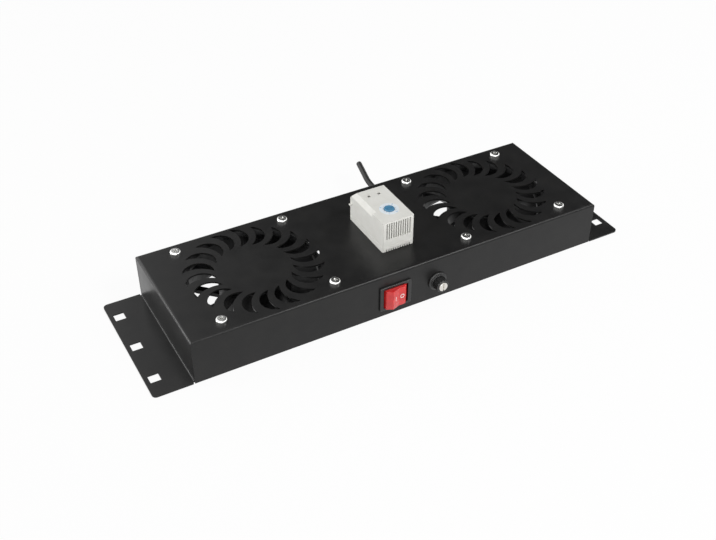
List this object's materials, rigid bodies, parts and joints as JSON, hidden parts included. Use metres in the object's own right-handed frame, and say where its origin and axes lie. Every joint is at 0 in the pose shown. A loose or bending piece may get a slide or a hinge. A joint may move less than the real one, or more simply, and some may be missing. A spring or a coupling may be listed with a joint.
{
  "type": "rack fan tray",
  "caption": "Sheet-steel fan tray for a rack frame: axial fans blow up through swirl slots in its top, with a thermostat on top and a mains switch and fuse holder on its front.",
  "frame": {"origin": "centre of the six-hole mounting pattern, on the flanges' underside, which is the face that meets the rack rails", "axes": "+X along the rack's width, +Y towards the wall with the mains cord, +Z out of the rack rails through the top sheet; the switch and fuse holder face -Y"},
  "size_m": [0.4826, 0.2172, 0.0763],
  "materials": {
    "tray_steel": "black powder coat, satin",
    "fan_frame_plastic": "black moulded plastic",
    "fan_rotor_plastic": "black moulded plastic, slightly glossy blades",
    "fan_core_steel": "laminated electrical steel",
    "copper_winding": "enamelled copper winding",
    "bearing_steel": "ground bearing steel",
    "zinc_steel": "bright zinc-plated steel",
    "nickel_contact": "nickel-plated contact metal",
    "brass_contact": "brass terminal metal",
    "thermostat_plastic": "off-white plastic",
    "dial_blue": "blue plastic knob",
    "contact_plastic": "light grey moulded insulation",
    "switch_black": "black plastic",
    "rocker_red": "translucent red plastic",
    "clear_glass": "clear glass",
    "holder_black": "black plastic",
    "black_rubber": "black rubber",
    "cord_pvc": "black cord sheath",
    "sleeve_plastic": "natural nylon",
    "wire_brown": "brown wire insulation",
    "wire_blue": "blue wire insulation",
    "wire_green_yellow": "green and yellow wire insulation"
  },
  "bodies": {
    "tray": {"block_screws": "zinc_steel", "blue_wires": "wire_blue", "brown_wires": "wire_brown", "cord_gland": "black_rubber", "cord_inner_end": "cord_pvc", "earth_lug": "nickel_contact", "earth_nut": "zinc_steel", "earth_screw": "zinc_steel", "earth_washer": "zinc_steel", "earth_wire": "wire_green_yellow", "fan_lock_washers": "zinc_steel", "fan_nuts": "zinc_steel", "fan_screws": "zinc_steel", "fuse_holder_body": "holder_black", "fuse_holder_nut": "holder_black", "fuse_tabs": "brass_contact", "gland_nut": "holder_black", "left_fan_bearings": "bearing_steel", "left_fan_coils": "copper_winding", "left_fan_frame": "fan_frame_plastic", "left_fan_lead": "cord_pvc", "left_fan_stator": "fan_core_steel", "left_fan_terminal": "holder_black", "power_cord": "cord_pvc", "right_fan_bearings": "bearing_steel", "right_fan_coils": "copper_winding", "right_fan_frame": "fan_frame_plastic", "right_fan_lead": "cord_pvc", "right_fan_stator": "fan_core_steel", "right_fan_terminal": "holder_black", "switch_frame": "switch_black", "switch_lamp": "clear_glass", "switch_tabs": "brass_contact", "tab_sleeves": "sleeve_plastic", "terminal_block": "sleeve_plastic", "terminal_screws": "zinc_steel", "thermostat_base": "thermostat_plastic", "thermostat_bimetal": "nickel_contact", "thermostat_contact_block": "contact_plastic", "thermostat_cover": "thermostat_plastic", "thermostat_grommet": "black_rubber", "thermostat_terminal_screws": "zinc_steel", "tray_shell": "tray_steel"},
    "left_rotor": {"left_fan_rotor": "fan_rotor_plastic", "left_fan_shaft": "bearing_steel", "left_fan_clip": "zinc_steel"},
    "right_rotor": {"right_fan_rotor": "fan_rotor_plastic", "right_fan_shaft": "bearing_steel", "right_fan_clip": "zinc_steel"},
    "dial": {"thermostat_dial": "dial_blue"},
    "rocker": {"switch_rocker": "rocker_red"},
    "fuse_carrier": {"fuse_glass": "clear_glass", "fuse_end_caps": "nickel_contact"},
    "fuse_cap": {"fuse_cap": "holder_black", "fuse_cap_insert": "nickel_contact"}
  },
  "joints": [
    {"name": "left_fan_spin", "type": "hinge", "parent": "tray", "child": "left_rotor", "pos_m": [-0.11972, 0, 0.03], "axis": [0, 0, 1], "continuous": true},
    {"name": "right_fan_spin", "type": "hinge", "parent": "tray", "child": "right_rotor", "pos_m": [0.11972, 0, 0.03], "axis": [0, 0, 1], "continuous": true},
    {"name": "thermostat_dial_turn", "type": "hinge", "parent": "tray", "child": "dial", "pos_m": [0.0063, -0.01735, 0.07], "axis": [0, 0, 1], "range_deg": [-150, 150]},
    {"name": "rocker_tilt", "type": "hinge", "parent": "tray", "child": "rocker", "pos_m": [-0.01499, -0.0645, 0.02], "axis": [0, 0, 1], "range_deg": [-22, 0]},
    {"name": "fuse_carrier_pull", "type": "slide", "parent": "tray", "child": "fuse_carrier", "axis": [0, -1, 0], "range_m": [0, 0.035]},
    {"name": "fuse_cap_turn", "type": "hinge", "parent": "fuse_carrier", "child": "fuse_cap", "pos_m": [0.02903, -0.07, 0.019], "axis": [0, -1, 0], "range_deg": [0, 90]}
  ]
}
